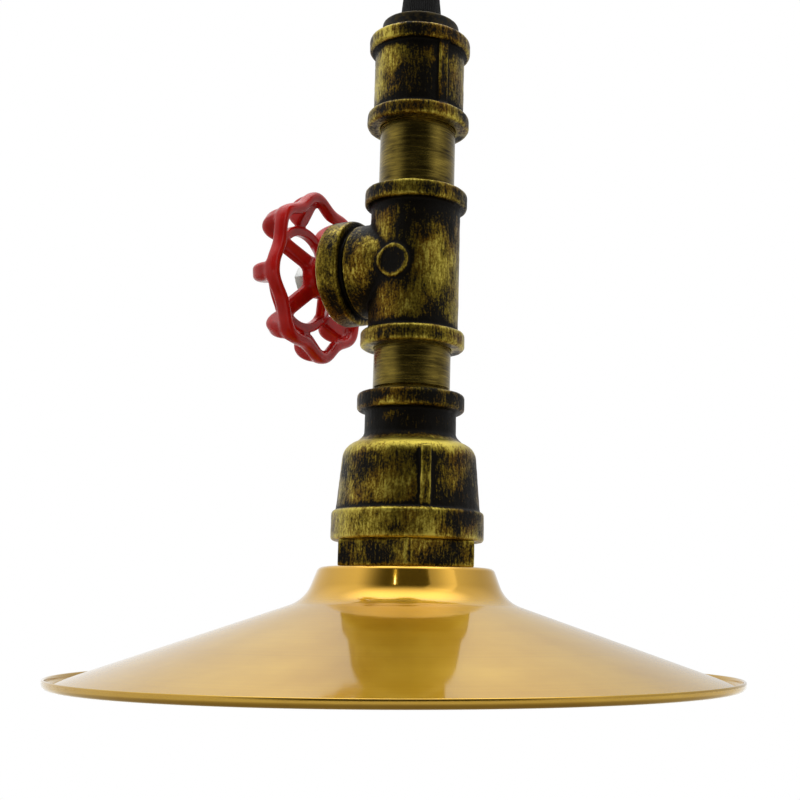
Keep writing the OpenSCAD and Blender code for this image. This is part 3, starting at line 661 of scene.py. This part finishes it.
def wheel_depth(a, b, c):
    """Signed depth of the handwheel: a and b across it, c along its axis from the rim's inner face."""
    r = np.hypot(a, b)
    angle = np.arctan2(b, a) - math.radians(WHEEL_TURN)
    to_lobe = (angle + math.pi / 8) % (math.pi / 4) - math.pi / 8
    to_arm = angle % (math.pi / 2) - math.pi / 4
    # Rim: a wavy bar of rounded section
    rim_r = WHEEL_D / 2 - RIM_W / 2 - WHEEL_WAVE * (1 - np.cos(8 * angle)) / 2
    across = np.abs(r - rim_r) * WAVE_SLANT / (RIM_W / 2)
    upright = np.abs(c - RIM_H / 2) / (RIM_H / 2)
    rim = ((across ** RIM_SQUARENESS + upright ** RIM_SQUARENESS) ** (1 / RIM_SQUARENESS) - 1) * RIM_W / 2
    # Lobes: half-round knuckles from the rim in to the ring
    half = LOBE_LEN / 2
    lobe_out = r * np.cos(to_lobe)
    out = (lobe_out - (WHEEL_D / 2 - LOBE_INSET - half)) / half
    rise = (c - LOBE_FOOT) / np.where(c > LOBE_FOOT, LOBE_REACH - LOBE_FOOT, LOBE_DROP)
    lobe = rounded((np.hypot(out, rise) - 1) * half, np.abs(r * np.sin(to_lobe)) - LOBE_W / 2, LOBE_ROUND)
    # Their inner side leans from the rim over to the ring
    lean = LEAN_ALONG * (LEAN_FOOT - c) + LEAN_ACROSS * (LEAN_REACH - lobe_out)
    lobe = rounded(lobe, lean, LEAN_ROUND)
    ring = rounded(np.abs(r - RING_R) - RING_W / 2, np.abs(c - RING_AT) - RING_W / 2, RING_ROUND)
    # Four arms from the hub out to the ring
    reach = r * np.cos(to_arm)
    share = np.clip((reach - ARM_FOOT_R) / (RING_R - ARM_FOOT_R), 0, 1)
    arm_r = ARM_FOOT_R + share * (RING_R - ARM_FOOT_R)
    arm_at = ARM_FOOT_AT + share * (RING_AT - ARM_FOOT_AT)
    arm = rounded(np.hypot(reach - arm_r, c - arm_at) - ARM_HALF_H,
                  np.abs(r * np.sin(to_arm)) - ARM_HALF_W, ARM_ROUND)
    hub = rounded(r - HUB_R, np.abs(c - HUB_LEN / 2 + HUB_SET) - HUB_LEN / 2, HUB_ROUND)
    body = melted(melted(rim, lobe, LOBE_FILLET), ring, RING_FILLET)
    body = melted(body, melted(arm, hub, HUB_FILLET), ARM_FILLET)
    square = np.maximum(np.abs(a), np.abs(b)) - SQUARE / 2
    return np.maximum(body, -square)


def make_handwheel():
    """The handwheel's mesh, set on its spindle."""
    low = np.array(GRID_LOW)
    grid = np.meshgrid(*[low[k] + GRID_STEP * np.arange(GRID_COUNT[k]) for k in range(3)], indexing="ij")
    points, quads = skin_of(wheel_depth(*grid), low, GRID_STEP)
    corner_low, corner_high = (np.array(corner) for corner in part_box("handwheel"))
    axis_z = (corner_low[2] + corner_high[2]) / 2
    rim_x = corner_high[0] - HUB_SET * MM
    placed = np.stack([rim_x - points[:, 2] * MM, -points[:, 0] * MM, axis_z + points[:, 1] * MM], 1)
    mesh = bpy.data.meshes.new("cast_handwheel")
    mesh.from_pydata(placed.tolist(), [], quads.tolist())
    piece = show("cast_handwheel", mesh)
    smoothed(mesh, 6)
    roughened(mesh, 0.02)
    mark_proud(mesh, edge_rise=0.35, wide_rise=1.0)
    mesh.set_sharp_from_angle(angle=math.radians(60))
    dress(piece, "handwheel")


make_handwheel()
eased("handwheel_nut", 0.35)
eased("handwheel_washer", 0.15)
eased("branch_bush", 0.4)

# Shade: spun sheet, in the solid's own sizes
SHADE_TOP = -214.6
SHEET = 0.9
SHADE_R = 113.2
HOLE_R = 17.7
TOP_R = 27.0
NECK_R = 29.2
NECK_DEPTH = 10.9
NECK_LEAN = 20.8
NECK_BEND = 1.6
SWEEP_BEND = 12
CONE_SLOPE = 19.1
LIP_TURN = 86
LIP_R = 1.3
LIP_H = 0.8


def make_shade():
    """The shade's mesh: flat top with its hole, neck, sweep, cone and turned-up lip."""
    neck_corner = np.array((NECK_R, -SHEET / 2))
    cone_corner = neck_corner + (NECK_DEPTH * math.tan(math.radians(NECK_LEAN)), -NECK_DEPTH)
    lip_x = SHADE_R - SHEET / 2 - (LIP_H + LIP_R) * math.cos(math.radians(LIP_TURN))
    lip_corner = (lip_x, cone_corner[1] - (lip_x - cone_corner[0]) * math.tan(math.radians(CONE_SLOPE)))
    lip_run = LIP_R * math.tan(math.radians((LIP_TURN + CONE_SLOPE) / 2))
    line = [np.array((x, -SHEET / 2)) for x in level(HOLE_R, TOP_R, 6)]
    line += bend(neck_corner, NECK_BEND, 0, NECK_LEAN - 90, 12)
    line += bend(cone_corner, SWEEP_BEND, NECK_LEAN - 90, -CONE_SLOPE, 30)
    cone_end = bend(lip_corner, LIP_R, -CONE_SLOPE, LIP_TURN, 20)
    cone_start = line[-1]
    line += [cone_start + (cone_end[0] - cone_start) * share for share in level(0, 1, 20)[1:-1]]
    line += cone_end
    line.append(np.array(lip_corner) + (lip_run + LIP_H) * unit(LIP_TURN))
    outline = [(r, z + SHADE_TOP) for r, z in sheet_outline(line, SHEET)]
    dress(lathe("spun_shade", outline, 288), "shade")


make_shade()

# Cord grip's cap: a tapered wall with fine ribs round its lower half
CAP_FOOT = -16.0
CAP_FOOT_R = 7.2
CAP_TAPER = 1.6
CAP_RIBS = 60
RIB_TOP = -7.4
RIB_HEIGHT = 0.22
RIB_INNER_R = 5.6


def rib_reach(r, z, angle):
    """Radius of the cap's wall with its ribs, which fade out at both ends."""
    if r < RIB_INNER_R or z > RIB_TOP:
        return r
    fade = min(1.0, (RIB_TOP - z) / 0.6, (z - CAP_FOOT) / 0.3)
    return r + RIB_HEIGHT * max(0.0, fade) * (0.5 + 0.5 * math.cos(CAP_RIBS * angle))


cap_outline = [(5.3, CAP_FOOT)]
cap_outline += [(CAP_FOOT_R - CAP_TAPER * (z - CAP_FOOT) / -CAP_FOOT, z) for z in level(CAP_FOOT, -0.8, 36)]
cap_outline += [(5.5, -0.3), (5.2, 0.0), (4.0, 0.0), (3.7, -0.3), (3.7, -3.0), (5.3, -3.0)]
dress(lathe("ribbed_grip_cap", cap_outline, 480, rib_reach), "cord_grip_cap")

# Lampholder: screw shell with its rolled thread, skirt with its outside thread
SHELL_PITCH = 3.62
SHELL_LOW = -233.9
SHELL_STEP = -218.5
SHELL_THREAD_TOP = SHELL_STEP - 1.2
SHELL_THREAD = 0.28
SHELL_IN_R = 13.3
SHELL_OUT_R = 13.75
SKIRT_R = 17.2
SKIRT_PITCH = 2.0
SKIRT_THREAD = 0.3
SKIRT_THREAD_LOW = -232.5


def shell_reach(r, z, angle):
    """Radius of the rolled sheet with its round thread, which fades out below the step."""
    if z > SHELL_THREAD_TOP:
        return r
    fade = min(1.0, (SHELL_THREAD_TOP - z) / 1.5)
    return r + SHELL_THREAD * fade * math.sin(2 * math.pi * z / SHELL_PITCH + angle)


shell_outline = [(6.7, -212.4), (13.0, -212.4), (13.1, -212.5), (13.1, -218.0)]
shell_outline += [(SHELL_OUT_R, z) for z in level(SHELL_LOW, SHELL_STEP - 0.1, 48)[::-1]]
shell_outline += [(SHELL_IN_R, z) for z in level(SHELL_STEP - 0.6, SHELL_LOW, 48)[::-1]]
shell_outline += [(12.7, -218.9), (12.6, -218.7), (12.6, -213.0), (12.5, -212.9), (6.7, -212.9)]
dress(lathe("rolled_screw_shell", shell_outline, 96, shell_reach), "screw_shell")


def skirt_reach(r, z, angle):
    """Radius of the skirt with its outside thread, which runs out at the foot."""
    if r < SKIRT_R - 0.2 or z < SKIRT_THREAD_LOW:
        return r
    fade = min(1.0, z - SKIRT_THREAD_LOW)
    return r - SKIRT_THREAD * fade * (0.5 + 0.5 * math.cos(2 * math.pi * z / SKIRT_PITCH - angle))


skirt_outline = [(14.1, -235.5), (14.5, -235.9), (16.6, -235.9), (17.0, -235.7)]
skirt_outline += [(SKIRT_R, z) for z in level(-235.2, -206.3, 120)]
skirt_outline += [(16.9, -205.8), (15.3, -205.8), (15.3, -212.3), (14.1, -212.4)]
dress(lathe("threaded_skirt", skirt_outline, 96, skirt_reach), "lampholder_skirt")

# The contact's spring
SPRING_WIRE = 0.25
SPRING_TURNS = 3
TURN_STEPS = 24
WIRE_SIDES = 8


def make_spring():
    """The contact's spring: a wound wire, which rides with the core."""
    low, high = (np.array(corner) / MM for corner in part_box("contact_spring"))
    coil_r = (high[0] - low[0]) / 2 - SPRING_WIRE
    rings = TURN_STEPS * SPRING_TURNS
    points = []
    for i in range(rings + 1):
        turn = 2 * math.pi * SPRING_TURNS * i / rings
        z = low[2] + SPRING_WIRE + (high[2] - low[2] - 2 * SPRING_WIRE) * i / rings
        for k in range(WIRE_SIDES):
            side = 2 * math.pi * k / WIRE_SIDES
            r = (coil_r + SPRING_WIRE * math.cos(side)) * MM
            points.append((r * math.cos(turn), r * math.sin(turn), (z + SPRING_WIRE * math.sin(side)) * MM))
    first = tuple(range(WIRE_SIDES))
    faces = [first[::-1], tuple(WIRE_SIDES * rings + k for k in first)]
    for i in range(rings):
        here = WIRE_SIDES * i
        there = here + WIRE_SIDES
        for k in first:
            m = (k + 1) % WIRE_SIDES
            faces.append((here + k, here + m, there + m, there + k))
    mesh = bpy.data.meshes.new("wound_contact_spring")
    mesh.from_pydata(points, [], faces)
    mesh.materials.append(SLOT_FINISH[slot_of["contact_spring"]])
    piece = show("wound_contact_spring", mesh)
    mesh.set_sharp_from_angle(angle=math.radians(60))
    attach(piece, body_of["lampholder_core"])
    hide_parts("contact_spring")
    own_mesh(piece)


make_spring()

# Ring that clamps the shade
NOTCHES = 20
NOTCH_DEPTH = 0.7
NOTCH_INNER_R = 20


def notch_reach(r, z, angle):
    """Radius of the ring with shallow notches for the fingers."""
    if r < NOTCH_INNER_R:
        return r
    return r - NOTCH_DEPTH * max(0.0, math.cos(NOTCHES * angle)) ** 3


ring_outline = [(17.3, -215.5), (17.3, -220.0), (17.8, -220.5), (21.5, -220.5), (22.0, -220.3)]
ring_outline += [(22.2, -219.8), (22.2, -216.2), (22.0, -215.7), (21.5, -215.5)]
dress(lathe("notched_shade_ring", ring_outline, 320, notch_reach), "shade_ring")

# Light and stage
floor_mesh = bpy.data.meshes.new("floor")
corners = [(x * FLOOR_HALF, y * FLOOR_HALF, FLOOR_HEIGHT) for x, y in ((-1, -1), (1, -1), (1, 1), (-1, 1))]
floor_mesh.from_pydata(corners, [], [(0, 1, 2, 3)])
floor = show("floor", floor_mesh)


def pale_floor():
    """Matt white paper that shows the lamp's shadow and runs out to plain white. It throws grey light up."""
    material, tree, skin = new_material("pale_paper_floor")
    path = add(tree, "ShaderNodeLightPath").outputs
    seen = path["Is Camera Ray"]
    at = add(tree, "ShaderNodeTexCoord").outputs["Object"]
    apart = add(tree, "ShaderNodeSeparateXYZ", {0: at}).outputs
    flat = add(tree, "ShaderNodeCombineXYZ", {0: apart[0], 1: apart[1]}).outputs[0]
    off = add(tree, "ShaderNodeVectorMath", {0: flat}, operation="LENGTH").outputs["Value"]
    # In the metal it is pale further off, with a painted shadow right under the lamp
    lit = add(tree, "ShaderNodeMapRange", {"Value": off, "From Min": 0.8, "From Max": 5.0,
                                           "To Max": path["Is Glossy Ray"]}).outputs[0]
    pale = add(tree, "ShaderNodeMath", {0: seen, 1: lit}, operation="MAXIMUM").outputs[0]
    tone = add(tree, "ShaderNodeMix", {SHARE: pale, UNDER: linear("#8f887b"), OVER: linear("#f4f4f2")},
               data_type="RGBA").outputs[MIXED]
    feed(tree, skin, {"Base Color": tone, "Roughness": 0.9})
    # The camera sees half of its shading under the lamp, and plain white from 1.5 m on
    plain = add(tree, "ShaderNodeMapRange", {"Value": off, "From Min": 0.25, "From Max": 1.5, "To Min": 0.5},
                interpolation_type="SMOOTHSTEP").outputs[0]
    part = add(tree, "ShaderNodeMath", {0: seen, 1: plain}, operation="MULTIPLY").outputs[0]
    glow = add(tree, "ShaderNodeEmission", {"Color": linear("#ffffff"), "Strength": 1.0}).outputs[0]
    both = add(tree, "ShaderNodeMixShader", {0: part, 1: skin.outputs[0], 2: glow}).outputs[0]
    feed(tree, tree.nodes["Material Output"], {"Surface": both})
    return material


floor_mesh.materials.append(pale_floor())


def studio_world():
    """White paper for the camera. The light comes from white walls, but for the dim room in front."""
    world = bpy.data.worlds.new("studio")
    bpy.context.scene.world = world
    world.use_nodes = True
    tree = world.node_tree
    path = add(tree, "ShaderNodeLightPath").outputs
    mirror = add(tree, "ShaderNodeMath", {0: path["Is Glossy Ray"], 1: path["Is Transmission Ray"]},
                 operation="MAXIMUM").outputs[0]
    towards = add(tree, "ShaderNodeTexCoord").outputs["Generated"]
    ahead = add(tree, "ShaderNodeVectorMath", {0: towards, 1: DIM_FRONT},
                operation="DOT_PRODUCT").outputs["Value"]
    aside = add(tree, "ShaderNodeVectorMath", {0: towards, 1: GREY_SIDE},
                operation="DOT_PRODUCT").outputs["Value"]
    white = add(tree, "ShaderNodeMapRange", {"Value": aside, "From Min": 0.3, "From Max": 0.95,
                                             "To Min": 1.0, "To Max": 0.66}).outputs[0]
    # The walls are brightest high up, near the soft light
    height = add(tree, "ShaderNodeSeparateXYZ", {0: towards}).outputs[2]
    fade = add(tree, "ShaderNodeMapRange", {"Value": height, "From Min": 0.42, "From Max": 0.66,
                                            "To Min": 0.94, "To Max": 1.24}).outputs[0]
    wall = add(tree, "ShaderNodeMath", {0: white, 1: fade}, operation="MULTIPLY").outputs[0]
    room = add(tree, "ShaderNodeMapRange", {"Value": ahead, "From Min": 0.45, "From Max": 0.88,
                                            "To Min": wall, "To Max": 0.04},
               interpolation_type="SMOOTHSTEP").outputs[0]
    # Matt surfaces get a softer change from wall to room than metal shows
    soft = add(tree, "ShaderNodeMapRange", {"Value": ahead, "From Min": -0.3, "From Max": 0.7,
                                            "To Min": 1.0, "To Max": 0.3}).outputs[0]
    walls = add(tree, "ShaderNodeMapRange", {"Value": mirror, "To Min": soft, "To Max": room}).outputs[0]
    # A wide soft light overhead
    overhead = add(tree, "ShaderNodeMapRange", {"Value": height, "From Min": 0.74, "From Max": 0.97,
                                                "To Max": 1.6},
                   interpolation_type="SMOOTHSTEP").outputs[0]
    bounced = add(tree, "ShaderNodeMath", {0: walls, 1: overhead}, operation="ADD").outputs[0]
    strength = add(tree, "ShaderNodeMapRange",
                   {"Value": path["Is Camera Ray"], "To Min": bounced, "To Max": 1.0}).outputs[0]
    feed(tree, tree.nodes["Background"], {"Color": linear("#ffffff"), "Strength": strength})


studio_world()


def soft_box(name, at, size, power):
    """A square studio soft box that faces the lamp."""
    light = bpy.data.lights.new(name, "AREA")
    light.shape = "RECTANGLE"
    light.size = size
    light.size_y = size
    light.energy = power
    box = bpy.data.objects.new(name, light)
    bpy.context.scene.collection.objects.link(box)
    box.location = at
    box.rotation_euler = (Vector(LAMP_MIDDLE) - Vector(at)).to_track_quat("-Z", "Y").to_euler()


# The right side's light, and a small one in front that gives the neck its bright spot
soft_box("right_box", (0.955, -0.15, 0.67), 0.7, 0.8)
soft_box("front_box", (0.21, -0.96, 0.69), 0.012, 0.07)

# Camera
lens = bpy.data.cameras.new("camera")
lens.sensor_width = 36
lens.lens = FOCAL_PIXELS / PICTURE * lens.sensor_width
lens.shift_x = (PICTURE / 2 - AIM_COLUMN) / PICTURE
lens.clip_start = 0.02
camera = bpy.data.objects.new("camera", lens)
bpy.context.scene.collection.objects.link(camera)
camera.location = CAMERA_AT
camera.rotation_euler = [math.radians(turn) for turn in CAMERA_TURN]
bpy.context.scene.camera = camera
bpy.context.scene.view_settings.view_transform = "Standard"
